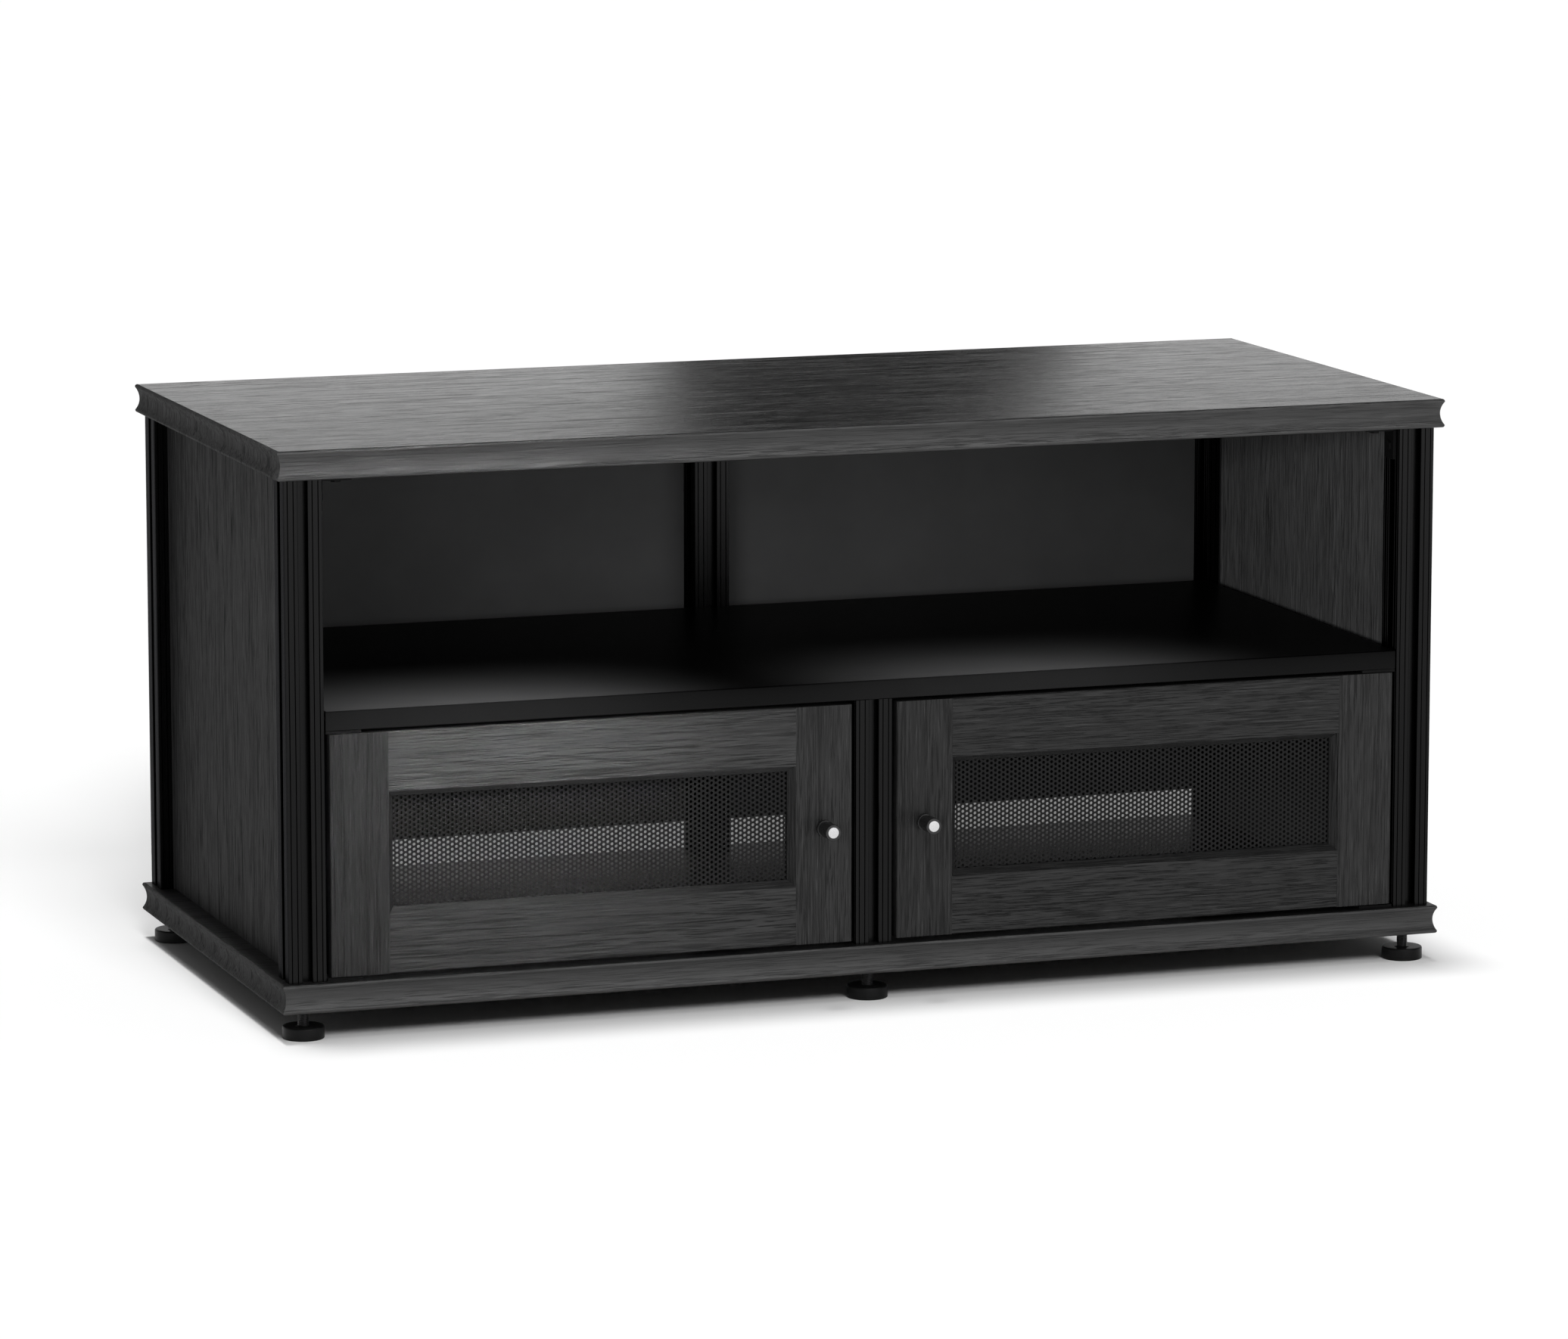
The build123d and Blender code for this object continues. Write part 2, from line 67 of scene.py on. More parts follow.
def roundAngles(sides):
    # Angles spread evenly over one whole turn
    return np.linspace(0, 2 * np.pi, sides, endpoint=False)


def arc(cx, cy, radius, start, end, steps):
    # Points of a circular arc between two angles in degrees
    t = np.radians(np.linspace(start, end, steps))
    return np.stack([cx + radius * np.cos(t), cy + radius * np.sin(t)], axis=-1)


def gridQuads(rows, cols):
    # Quads of a grid of points numbered row by row, with the last column joined to the first
    a = np.arange(rows * cols).reshape(rows, cols)
    b = np.roll(a, -1, axis=1)
    return np.stack([a[:-1], b[:-1], b[1:], a[1:]], axis=-1).reshape(-1, 4)


def upwardFill(loops):
    # Triangles that fill a flat outline with holes, all facing up; loops are arrays of x, y points
    flat = [[Vector((x, y, 0.0)) for x, y in loop] for loop in loops]
    triangles = np.array(tessellate_polygon(flat))
    corners = np.concatenate(loops)[triangles]
    a, b = corners[:, 1] - corners[:, 0], corners[:, 2] - corners[:, 0]
    down = a[:, 0] * b[:, 1] < a[:, 1] * b[:, 0]
    triangles[down] = triangles[down][:, ::-1]
    return triangles


def turned(profile, centre, axis, sides):
    # Surface of revolution: a profile of radius and distance, carried round an axis through centre
    profile = np.asarray(profile, float)
    t = roundAngles(sides)
    r, d = profile[:, :1], np.repeat(profile[:, 1:], sides, axis=1)
    a, b = r * np.cos(t), r * np.sin(t)
    grid = np.stack([a, b, d] if axis == "z" else [a, -d, b], axis=-1)
    return (grid + np.asarray(centre)).reshape(-1, 3), gridQuads(len(profile), sides)


def makePiece(name, surface, body, material, node, edge=None):
    # A smooth mesh that stands for a node and rides on a body. The quads round a board come first and go
    # round its four sides in turn; edge gives them a material for the long sides and one for the ends
    points, faces = surface
    mesh = bpy.data.meshes.new(name)
    mesh.from_pydata(points.tolist(), [], [list(map(int, face)) for face in faces])
    mesh.polygons.foreach_set("use_smooth", np.ones(len(mesh.polygons), bool))
    mesh.set_sharp_from_angle(angle=math.radians(creaseAngle))
    mesh.materials.append(material)
    if edge:
        longMaterial, endMaterial, edgeFaces = edge
        mesh.materials.append(longMaterial)
        mesh.materials.append(endMaterial)
        face = np.arange(len(mesh.polygons))
        index = np.where(face < edgeFaces, 1 + face % 2, 0)
        mesh.polygons.foreach_set("material_index", index.astype(np.int32))
    piece = bpy.data.objects.new(name, mesh)
    bpy.context.scene.collection.objects.link(piece)
    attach(piece, body)
    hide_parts(node)
    return piece


# Materials

def place(tree, kind, wires=None, **settings):
    # A new shader node; wires gives its inputs, each a socket to link or a plain value
    node = tree.nodes.new("ShaderNode" + kind)
    for key, value in settings.items():
        setattr(node, key, value)
    for key, value in (wires or {}).items():
        if isinstance(value, bpy.types.NodeSocket):
            tree.links.new(value, node.inputs[key])
        else:
            node.inputs[key].default_value = value
    return node


def newGroup(name, inputs, outputs):
    group = bpy.data.node_groups.new(name, "ShaderNodeTree")
    for label, kind in inputs:
        group.interface.new_socket(label, in_out="INPUT", socket_type="NodeSocket" + kind)
    for label, kind in outputs:
        group.interface.new_socket(label, in_out="OUTPUT", socket_type="NodeSocket" + kind)
    return group, group.nodes.new("NodeGroupInput").outputs, group.nodes.new("NodeGroupOutput").inputs


def newMaterial(name):
    material = bpy.data.materials.new(name)
    material.use_nodes = True
    tree = material.node_tree
    tree.nodes.clear()
    shader = place(tree, "BsdfPrincipled")
    output = place(tree, "OutputMaterial")
    tree.links.new(shader.outputs[0], output.inputs[0])
    return material, tree, shader.inputs


def scaled(tree, vector, scale):
    return place(tree, "VectorMath", {0: vector, 1: scale}, operation="MULTIPLY").outputs[0]


def noise(tree, vector, scale, detail, roughness):
    wires = {"Vector": scaled(tree, vector, scale), "Scale": 1.0, "Detail": detail, "Roughness": roughness}
    return place(tree, "TexNoise", wires).outputs


def ramp(tree, value, low, high, outLow=0.0, outHigh=1.0):
    wires = {"Value": value, "From Min": low, "From Max": high, "To Min": outLow, "To Max": outHigh}
    return place(tree, "MapRange", wires).outputs[0]


def maths(tree, operation, a, b):
    return place(tree, "Math", {0: a, 1: b}, operation=operation).outputs[0]


def mixColour(tree, factor, a, b):
    return place(tree, "Mix", {0: factor, 6: a, 7: b}, data_type="RGBA").outputs[2]


coolCast = 1.01  # the greys lean a trace to blue


def grey(value):
    return (value, value, value * coolCast, 1.0)


# Each noise has its scale per metre along and across the grain, its detail and its roughness
oakSettings = {
    "drift": ((4.5, 18.0, 18.0), 2.0, 0.5),       # how the grain wanders
    "driftReach": 0.004,                          # how far it wanders, in metres
    "bands": ((5.0, 75.0, 75.0), 3.0, 0.55),      # broad growth bands
    "bandSpan": (0.36, 0.62),                     # from a dense band to an open one
    "rings": ((2.4, 110.0, 110.0), 2.0, 0.4),     # dark lines between the growth rings
    "ringCount": 2.4,
    "ringWidth": 0.1,
    "ringBreaks": (0.6, 0.4),                     # fibre that hides a ring line, and fibre that shows it
    "fibre": ((20.0, 700.0, 700.0), 3.0, 0.6),    # fibres seen as streaks
    "fibreShare": 0.75,                           # the rest of a streak is the band that it lies in
    "streakSpan": (0.38, 0.62),
    "pores": ((28.0, 1050.0, 1050.0), 2.0, 0.5),
    "poreSpan": (0.54, 0.66),
    "leastPores": 0.35,                           # in a dense band
    "fleckSpan": (0.37, 0.27),
    "leastFlecks": 0.2,                           # in an open band
    "fibreHeight": 0.9,
}


def makeOakFigure(s):
    # Grain along x: a wandering coordinate feeds broad bands, thin ring lines where a slow noise crosses
    # whole steps, fibres, pores where a fine noise is high, and pale flecks where it is low
    group, given, out = newGroup(
        "oakFigure", [("Along", "Vector")],
        [("Fibre", "Float"), ("Dark", "Float"), ("Flecks", "Float"), ("Height", "Float")])
    drift = noise(group, given[0], *s["drift"])[1]
    centred = place(group, "VectorMath", {0: drift, 1: (0.5, 0.5, 0.5)}, operation="SUBTRACT").outputs[0]
    sway = scaled(group, centred, (0.0, s["driftReach"], s["driftReach"]))
    bent = place(group, "VectorMath", {0: given[0], 1: sway}, operation="ADD").outputs[0]
    bands = noise(group, bent, *s["bands"])[0]
    fibre = noise(group, bent, *s["fibre"])[0]
    vessels = noise(group, bent, *s["pores"])[0]

    ringSteps = maths(group, "MULTIPLY", noise(group, bent, *s["rings"])[0], s["ringCount"])
    fromStep = maths(group, "PINGPONG", ringSteps, 0.5)  # how far off the nearest whole step is
    rings = ramp(group, fromStep, s["ringWidth"], 0.0)
    ringLines = maths(group, "MULTIPLY", rings, ramp(group, fibre, *s["ringBreaks"]))

    openness = ramp(group, bands, *s["bandSpan"], s["leastPores"], 1.0)
    pores = maths(group, "MULTIPLY", ramp(group, vessels, *s["poreSpan"]), openness)
    density = ramp(group, bands, *s["bandSpan"][::-1], s["leastFlecks"], 1.0)
    flecks = maths(group, "MULTIPLY", ramp(group, vessels, *s["fleckSpan"]), density)

    dark = maths(group, "MAXIMUM", pores, ringLines)
    streak = maths(group, "ADD", maths(group, "MULTIPLY", fibre, s["fibreShare"]),
                   maths(group, "MULTIPLY", bands, 1.0 - s["fibreShare"]))
    raised = maths(group, "MULTIPLY", fibre, s["fibreHeight"])
    group.links.new(ramp(group, streak, *s["streakSpan"]), out["Fibre"])
    group.links.new(dark, out["Dark"])
    group.links.new(flecks, out["Flecks"])
    group.links.new(maths(group, "SUBTRACT", raised, dark), out["Height"])
    return group


toothSettings = {
    "fineDetail": 2.0, "slowScale": 14.0, "slowDetail": 3.0, "slowRoughness": 0.6, "slowSpan": (0.3, 0.7),
}


def makeSurfaceTooth(s):
    # Fine even tooth of paint or anodising, with a slow mottle from handling
    group, given, out = newGroup(
        "surfaceTooth", [("Coordinates", "Vector"), ("Grain", "Float")],
        [("Tooth", "Float"), ("Mottle", "Float")])
    fine = place(group, "TexNoise", {"Vector": given[0], "Scale": given[1], "Detail": s["fineDetail"]})
    slow = place(group, "TexNoise", {"Vector": given[0], "Scale": s["slowScale"], "Detail": s["slowDetail"],
                                     "Roughness": s["slowRoughness"]})
    group.links.new(fine.outputs[0], out["Tooth"])
    group.links.new(ramp(group, slow.outputs[0], *s["slowSpan"]), out["Mottle"])
    return group


oakFigure = makeOakFigure(oakSettings)
surfaceTooth = makeSurfaceTooth(toothSettings)


def oakMaterial(name, turn, s):
    # Fibre tones the wood, flecks make it paler, and pores and ring lines make it darker and rougher
    material, tree, shader = newMaterial(name)
    where = place(tree, "TexCoord").outputs["Object"]
    lie = place(tree, "Mapping", {"Vector": where, "Location": s["offset"], "Rotation": turn}).outputs[0]
    figure = place(tree, "Group", {0: lie}, node_tree=oakFigure)
    fibre, dark, flecks, height = figure.outputs
    # The tone scales the colours, and for some pieces it is painted light: paler where more light falls on
    # them
    wood = mixColour(tree, fibre, grey(s["dark"] * s["tone"]), grey(s["light"] * s["tone"]))
    flecked = mixColour(tree, flecks, wood, grey(s["fleck"]))
    colour = mixColour(tree, dark, flecked, grey(s["pore"] * s["tone"]))
    tree.links.new(colour, shader["Base Color"])
    roughness = ramp(tree, dark, 0.0, 1.0, s["rough"], s["rough"] + s["poreRough"])
    tree.links.new(roughness, shader["Roughness"])
    shader["Specular IOR Level"].default_value = s["specular"]
    bump = place(tree, "Bump", {"Height": height, "Strength": s["relief"], "Distance": s["reliefDepth"]})
    tree.links.new(bump.outputs[0], shader["Normal"])
    return material


def coatMaterial(name, s):
    # Tooth swings the roughness and the relief a little, and the mottle lightens the colour
    material, tree, shader = newMaterial(name)
    where = place(tree, "TexCoord").outputs["Object"]
    lie = place(tree, "Mapping", {"Vector": where, "Scale": s["stretch"]}).outputs[0]
    tooth, mottle = place(tree, "Group", {0: lie, 1: s["grain"]}, node_tree=surfaceTooth).outputs
    colour = mixColour(tree, mottle, grey(s["colour"]), grey(s["colour"] * (1.0 + s["mottle"])))
    tree.links.new(colour, shader["Base Color"])
    smoothest, roughest = s["rough"] - s["roughSwing"], s["rough"] + s["roughSwing"]
    tree.links.new(ramp(tree, tooth, *s["toothSpan"], smoothest, roughest), shader["Roughness"])
    shader["Metallic"].default_value = s["metallic"]
    shader["Specular IOR Level"].default_value = s["specular"]
    shader["Specular Tint"].default_value = grey(s["edgeTint"])
    bump = place(tree, "Bump", {"Height": tooth, "Strength": s["relief"], "Distance": s["reliefDepth"]})
    tree.links.new(bump.outputs[0], shader["Normal"])
    return material


oakLook = {
    "dark": 0.008, "light": 0.017, "pore": 0.0045, "fleck": 0.045, "rough": 0.36, "poreRough": 0.25,
    "specular": 0.26, "relief": 1.4, "reliefDepth": 0.4 * mm,
}
mouldingLook = {
    **oakLook, "dark": 0.006, "light": 0.016, "fleck": 0.02, "rough": 0.3, "specular": 0.55, "relief": 0.6,
}
polishedLook = {
    **oakLook, "dark": 0.002, "light": 0.010, "pore": 0.002, "fleck": 0.012, "rough": 0.12, "specular": 0.4,
    "relief": 0.34,
}
satinLook = {**polishedLook, "rough": 0.36, "specular": 0.25}
veneerLook = {
    **oakLook, "dark": 0.016, "light": 0.033, "pore": 0.010, "fleck": 0.05, "rough": 0.5, "specular": 0.02,
}
acrossTurn, uprightTurn = (0.0, 0.0, 0.0), (0.0, quarterTurn, 0.0)

# Each piece is cut from its own board: how the grain lies, where in the figure it is cut, how pale it is,
# and its finish. The paleness is partly the board's own and partly painted light: the left door's rails and
# knob stile, most of all its top rail, and the right side panel are made paler where more light falls on
# them
oakCuts = {
    "top_panel": (acrossTurn, (0.0, 0.0, 0.0), 1.0, polishedLook),
    "top_edge": (acrossTurn, (0.2, 0.3, 0.5), 1.0, mouldingLook),
    "top_end": (uprightTurn, (0.1, 0.7, 0.2), 1.0, veneerLook),
    "base_panel": (acrossTurn, (0.4, 0.9, 0.3), 1.0, satinLook),
    "base_edge": (acrossTurn, (0.7, 0.1, 0.2), 1.0, mouldingLook),
    "base_end": (uprightTurn, (0.6, 0.4, 0.8), 1.0, veneerLook),
    "side_panel_left": (uprightTurn, (0.0, 0.5, 0.0), 0.85, veneerLook),
    "side_panel_right": (uprightTurn, (0.3, 0.2, 0.6), 1.2, veneerLook),
    "door_left_hinge_stile": (uprightTurn, (0.11, 0.2, 0.1), 0.75, oakLook),
    "door_left_rail_top": (acrossTurn, (0.7, 0.3, 0.1), 2.0, oakLook),
    "door_left_rail_bottom": (acrossTurn, (0.2, 0.6, 0.4), 1.5, oakLook),
    "door_left_knob_stile": (uprightTurn, (0.5, 0.1, 0.7), 1.1, oakLook),
    "door_right_knob_stile": (uprightTurn, (0.9, 0.4, 0.2), 0.75, oakLook),
    "door_right_rail_top": (acrossTurn, (0.3, 0.8, 0.9), 0.85, oakLook),
    "door_right_rail_bottom": (acrossTurn, (0.6, 0.7, 0.5), 0.85, oakLook),
    "door_right_hinge_stile": (uprightTurn, (0.8, 0.9, 0.4), 1.0, oakLook),
}
oak = {node: oakMaterial("oak" + titled(node), turn, {**look, "offset": offset, "tone": tone})
       for node, (turn, offset, tone, look) in oakCuts.items()}

coatLook = {
    "stretch": (1.0, 1.0, 1.0), "toothSpan": (0.2, 0.8), "roughSwing": 0.05, "reliefDepth": 0.2 * mm,
    "metallic": 0.0, "specular": 0.4, "edgeTint": 1.0,
}
coats = {
    "blackAluminium": {"colour": 0.012, "mottle": 0.3, "rough": 0.26, "grain": 900.0, "relief": 0.06,
                       "metallic": 1.0, "stretch": (1.0, 1.0, 0.02), "edgeTint": 0.4},
    "blackBoard": {"colour": 0.016, "mottle": 0.1, "rough": 0.34, "grain": 1500.0, "relief": 0.05,
                   "specular": 0.01},
    "boardEdge": {"colour": 0.0026, "mottle": 0.2, "rough": 0.3, "grain": 1500.0, "relief": 0.05,
                  "specular": 0.1},
    "backBoard": {"colour": 0.042, "mottle": 0.2, "rough": 0.5, "grain": 1500.0, "relief": 0.05,
                  "specular": 0.2},
    "screenCoat": {"colour": 0.007, "mottle": 0.3, "rough": 0.4, "grain": 2500.0, "relief": 0.1,
                   "specular": 0.11},
    "knobCoat": {"colour": 0.009, "mottle": 0.3, "rough": 0.3, "grain": 3000.0, "relief": 0.05,
                 "specular": 0.45},
    "brightDisc": {"colour": 0.6, "mottle": 0.12, "rough": 0.28, "grain": 2200.0, "relief": 0.1,
                   "metallic": 1.0, "stretch": (1.0, 1.0, 0.1)},
    "padPlastic": {"colour": 0.004, "mottle": 0.3, "rough": 0.36, "grain": 2600.0, "relief": 0.12,
                   "specular": 0.12},
    "sealRubber": {"colour": 0.008, "mottle": 0.3, "rough": 0.6, "grain": 2600.0, "relief": 0.15,
                   "specular": 0.3},
    "blackedSteel": {"colour": 0.004, "mottle": 0.3, "rough": 0.45, "grain": 2600.0, "relief": 0.1,
                     "specular": 0.06},
    "platedSteel": {"colour": 0.5, "mottle": 0.15, "rough": 0.3, "grain": 1800.0, "relief": 0.08,
                    "metallic": 1.0},
}
finish = {name: coatMaterial(name, {**coatLook, **coat}) for name, coat in coats.items()}
print("materials made:", len(finish) + len(oak))

slotFinish = {
    "black_aluminium": "blackAluminium",
    "black_board": "blackBoard",
    "perforated_steel": "screenCoat",
    "bright_aluminium": "brightDisc",
    "black_metal": "knobCoat",
    "black_plastic": "padPlastic",
    "black_rubber": "sealRubber",
    "plated_steel": "platedSteel",
}
darkFixings = {"angle_brackets", "door_pivots", "plate_screws", "slot_screws", "wood_screws"}
for part in frame["record"]["subparts"]:
    name = part["node"]
    if name in oak:
        material = oak[name]
    elif name in darkFixings:
        material = finish["blackedSteel"]
    elif name.startswith("back_panel"):
        material = finish["backBoard"]
    else:
        material = finish[slotFinish[part["material_slot"]]]
    nodes[name].data.materials.clear()
    nodes[name].data.materials.append(material)
print("solids dressed")


# Top, base and shelf

footNames = ("front_left", "front_right", "front_centre", "rear_left", "rear_right", "rear_centre")
padBoxes = {n: boxOf("foot_pad_" + n) for n in footNames}
footSpots = {n: (lo + hi) / 2 * (1, 1, 0) for n, (lo, hi) in padBoxes.items()}

panelSettings = {
    "edgeRound": 2.2 * mm, "lip": 2.6 * mm, "coveDepth": 3.4 * mm, "roundSteps": 9, "coveSteps": 21,
}
seatSettings = {"flange": 12.1 * mm, "flangeHeight": 3.0 * mm, "tube": 6.6 * mm, "sides": 24}
shelfSettings = {"edgeRound": 1.2 * mm, "roundSteps": 6}


def mouldedEdge(z0, z1, s):
    # Inset and height of the edge from the underside up: quarter round, lip, cove, lip, quarter round
    r, depth = s["edgeRound"], s["coveDepth"]
    low, high = z0 + s["lip"], z1 - s["lip"]
    half = (high - low) / 2
    radius = (half**2 + depth**2) / (2 * depth)
    sweep = math.degrees(math.asin(half / radius))
    under = arc(r, z0 + r, r, 270, 180, s["roundSteps"])
    cove = arc(depth - radius, (low + high) / 2, radius, -sweep, sweep, s["coveSteps"])
    over = arc(r, z1 - r, r, 180, 90, s["roundSteps"])
    return np.concatenate([under, cove, over])


def easedEdge(z0, z1, s):
    # Inset and height of a square edge with a quarter round below and above
    r, steps = s["edgeRound"], s["roundSteps"]
    return np.concatenate([arc(r, z0 + r, r, 270, 180, steps), arc(r, z1 - r, r, 180, 90, steps)])


def seatProfile(z0, z1, s):
    # Radius and height of the stepped hole for a sleeve: wide for its flange, then narrow for its tube
    ledge = z0 + s["flangeHeight"]
    return [(s["flange"], z0), (s["flange"], ledge), (s["tube"], ledge), (s["tube"], z1)]


def edgeRings(profile, lo, hi):
    # Rings of four corners, one for each profile point, drawn in by its inset
    x0, y0, x1, y1 = lo[0], lo[1], hi[0], hi[1]
    d, z = profile[:, 0], profile[:, 1]
    corners = [(x0 + d, y0 + d), (x1 - d, y0 + d), (x1 - d, y1 - d), (x0 + d, y1 - d)]
    return np.stack([np.stack([x, y, z], axis=-1) for x, y in corners], axis=1)


def boardSurface(rings, bore, spots, sides):
    # The rings joined up, a bore turned at each spot, and the two faces filled round the bores
    count = len(rings) * 4
    points = [rings.reshape(-1, 3)]
    faces = gridQuads(len(rings), 4).tolist()
    lowLoops, highLoops = [np.arange(4)], [count - 4 + np.arange(4)]
    for spot in spots:
        wall, quads = turned(bore, spot, "z", sides)
        points.append(wall)
        faces += (quads[:, ::-1] + count).tolist()
        lowLoops.append(count + np.arange(sides))
        highLoops.append(count + len(wall) - sides + np.arange(sides))
        count += len(wall)
    points = np.concatenate(points)
    for loops, order in ((lowLoops, -1), (highLoops, 1)):
        fill = upwardFill([points[loop][:, :2] for loop in loops])
        faces += np.concatenate(loops)[fill][:, ::order].tolist()
    return points, faces


def makeBoard(name, node, profile, materials, bore=(), spots=(), sides=0):
    # materials are for the two faces, the long edges and the ends
    faceMaterial, longMaterial, endMaterial = materials
    surface = boardSurface(edgeRings(profile, *boxOf(node)), bore, spots, sides)
    edge = (longMaterial, endMaterial, 4 * (len(profile) - 1))
    return makePiece(name, surface, "carcass", faceMaterial, node, edge)


lo, hi = boxOf("top_panel")
makeBoard("topBoard", "top_panel", mouldedEdge(lo[2], hi[2], panelSettings),
          (oak["top_panel"], oak["top_edge"], oak["top_end"]))
lo, hi = boxOf("base_panel")
makeBoard("baseBoard", "base_panel", mouldedEdge(lo[2], hi[2], panelSettings),
          (oak["base_panel"], oak["base_edge"], oak["base_end"]),
          seatProfile(lo[2], hi[2], seatSettings), footSpots.values(), seatSettings["sides"])
lo, hi = boxOf("shelf")
shelf = makeBoard("shelfBoard", "shelf", easedEdge(lo[2], hi[2], shelfSettings),
                  (finish["blackBoard"], finish["boardEdge"], finish["boardEdge"]))
print("top, base and shelf made")


# Posts

postSettings = {
    "corner": 0.3 * mm, "cornerSteps": 8, "grooves": (3.35 * mm, 8.75 * mm), "grooveHalf": 0.45 * mm,
    "grooveDepth": 0.7 * mm, "slotHalf": 4.75 * mm, "slotLip": 2.6 * mm, "channelHalf": 8.0 * mm,
    "slotDepth": 8.5 * mm, "lipEase": 0.4 * mm, "core": 6.5 * mm, "coreSides": 16,
}


def postOutline(half, s):
    # One face from its left corner to its right, then turned by quarters into the closed section
    r, w, d, e = s["corner"], s["grooveHalf"], s["grooveDepth"], s["lipEase"]
    left = [arc(r - half, r - half, r, 180, 270, s["cornerSteps"])]
    for g in s["grooves"]:
        x = g - half
        left.append(np.array([(x - w, -half), (x, d - half), (x + w, -half)]))
    a, c = s["slotHalf"], s["channelHalf"]
    lip, floor = s["slotLip"] - half, s["slotDepth"] - half
    left.append(np.array([(-a - e, -half), (-a, e - half), (-a, lip), (-c, lip), (-c, floor)]))
    left = np.concatenate(left)
    right = (left[s["cornerSteps"]:] * (-1, 1))[::-1]
    face = np.concatenate([left, right])
    turns = []
    for k in range(4):
        cosine, sine = round(math.cos(k * quarterTurn)), round(math.sin(k * quarterTurn))
        turns.append(face @ np.array([[cosine, sine], [-sine, cosine]]))
    return np.concatenate(turns)


def postSurface(node, s):
    # The section carried straight up, with a core hole, and filled at both ends
    lo, hi = boxOf(node)
    centre, half = (lo + hi) / 2, (hi[0] - lo[0]) / 2
    outline = postOutline(half, s) + centre[:2]
    t = roundAngles(s["coreSides"])
    core = np.stack([np.cos(t), np.sin(t)], axis=-1) * s["core"] + centre[:2]
    points, faces, lowEnd, highEnd = [], [], [], []
    count = 0
    for loop, order in ((outline, 1), (core, -1)):
        n = len(loop)
        points += [np.column_stack([loop, np.full(n, z)]) for z in (lo[2], hi[2])]
        faces += (gridQuads(2, n)[:, ::order] + count).tolist()
        lowEnd.append(count + np.arange(n))
        highEnd.append(count + n + np.arange(n))
        count += 2 * n
    fill = upwardFill([outline, core])
    faces += np.concatenate(lowEnd)[fill[:, ::-1]].tolist()
    faces += np.concatenate(highEnd)[fill].tolist()
    return np.concatenate(points), faces


for n in footNames:
    makePiece("post" + titled(n), postSurface("post_" + n, postSettings), "carcass",
              finish["blackAluminium"], "post_" + n)
print("posts made")


# Levelling feet

padSettings = {
    "edge": 1.6 * mm, "edgeSteps": 7, "heel": 0.6 * mm, "collar": 7.0 * mm, "dish": 0.5 * mm,
    "dishFloor": 2.0 * mm, "sides": 72,
}
threadSettings = {
    "pitch": 1.5 * mm, "depth": 0.55 * mm, "flank": 1.6, "crest": 0.3, "perTurn": 6, "sides": 24,
}
sleeveSettings = {
    "bore": 5.3 * mm, "tube": 6.3 * mm, "flange": 11.9 * mm, "flangeHeight": 2.9 * mm, "ease": 0.4 * mm,
    "sides": 36,
}


def padProfile(radius, z0, z1, s):
    # Heel, straight side, rounded rim, then a shallow dish up to the collar round the stud
    heel = [(0.0, z0), (radius - s["heel"], z0), (radius, z0 + s["heel"])]
    rim = arc(radius - s["edge"], z1 - s["edge"], s["edge"], 0, 90, s["edgeSteps"])
    collar, low = s["collar"], z1 - s["dish"]
    dish = [(collar + s["dishFloor"], low), (collar, low), (collar - s["dish"], z1), (0.0, z1)]
    return np.concatenate([heel, rim, dish])


def threadSurface(radius, centre, z0, z1, s):
    # Radius falls and rises once in each pitch of height, shifted by the turn, which makes the helix
    rows = int((z1 - z0) / s["pitch"] * s["perTurn"])
    z = np.linspace(z0, z1, rows)[:, None]
    t = roundAngles(s["sides"])[None, :]
    phase = (z / s["pitch"] - t / (2 * np.pi)) % 1.0
    r = radius - s["depth"] * np.clip(s["flank"] * np.abs(2 * phase - 1) - s["crest"], 0, 1)
    wall = np.stack([r * np.cos(t), r * np.sin(t), z + 0 * t], axis=-1)
    ends = np.zeros((2, s["sides"], 3))
    ends[0, :, 2], ends[1, :, 2] = z0, z1
    grid = np.concatenate([ends[:1], wall, ends[1:]]) + centre
    return grid.reshape(-1, 3), gridQuads(*grid.shape[:2])


def sleeveProfile(z0, z1, s):
    # Down the bore, out under the flange, over its eased edge and up the tube
    bore, tube, flange, ledge = s["bore"], s["tube"], s["flange"], z0 + s["flangeHeight"]
    return [(bore, z1), (bore, z0), (flange - s["ease"], z0), (flange, z0 + s["ease"]), (flange, ledge),
            (tube, ledge), (tube, z1), (bore, z1)]


for n, spot in footSpots.items():
    lo, hi = padBoxes[n]
    profile = padProfile((hi[0] - lo[0]) / 2, lo[2], hi[2], padSettings)
    makePiece("pad" + titled(n), turned(profile, spot, "z", padSettings["sides"]), "foot_" + n,
              finish["padPlastic"], "foot_pad_" + n)
    lo, hi = boxOf("foot_stud_" + n)
    thread = threadSurface((hi[0] - lo[0]) / 2, spot, lo[2], hi[2], threadSettings)
    makePiece("stud" + titled(n), thread, "foot_" + n, finish["knobCoat"], "foot_stud_" + n)

lo, hi = boxOf("leveller_sleeves")
profile = sleeveProfile(lo[2], hi[2], sleeveSettings)
sleeves = [turned(profile, spot, "z", sleeveSettings["sides"]) for spot in footSpots.values()]
points = np.concatenate([wall for wall, quads in sleeves])
faces = np.concatenate([quads + k * len(wall) for k, (wall, quads) in enumerate(sleeves)])
makePiece("levellerSleeves", (points, faces), "carcass", finish["platedSteel"],
          "leveller_sleeves")
print("feet made")


# Doors: perforated screens, knobs and their discs

screenSettings = {"pitch": 4.6 * mm, "hole": 1.48 * mm, "sides": 12, "snap": 0.02 * mm, "snapShift": 0.2}


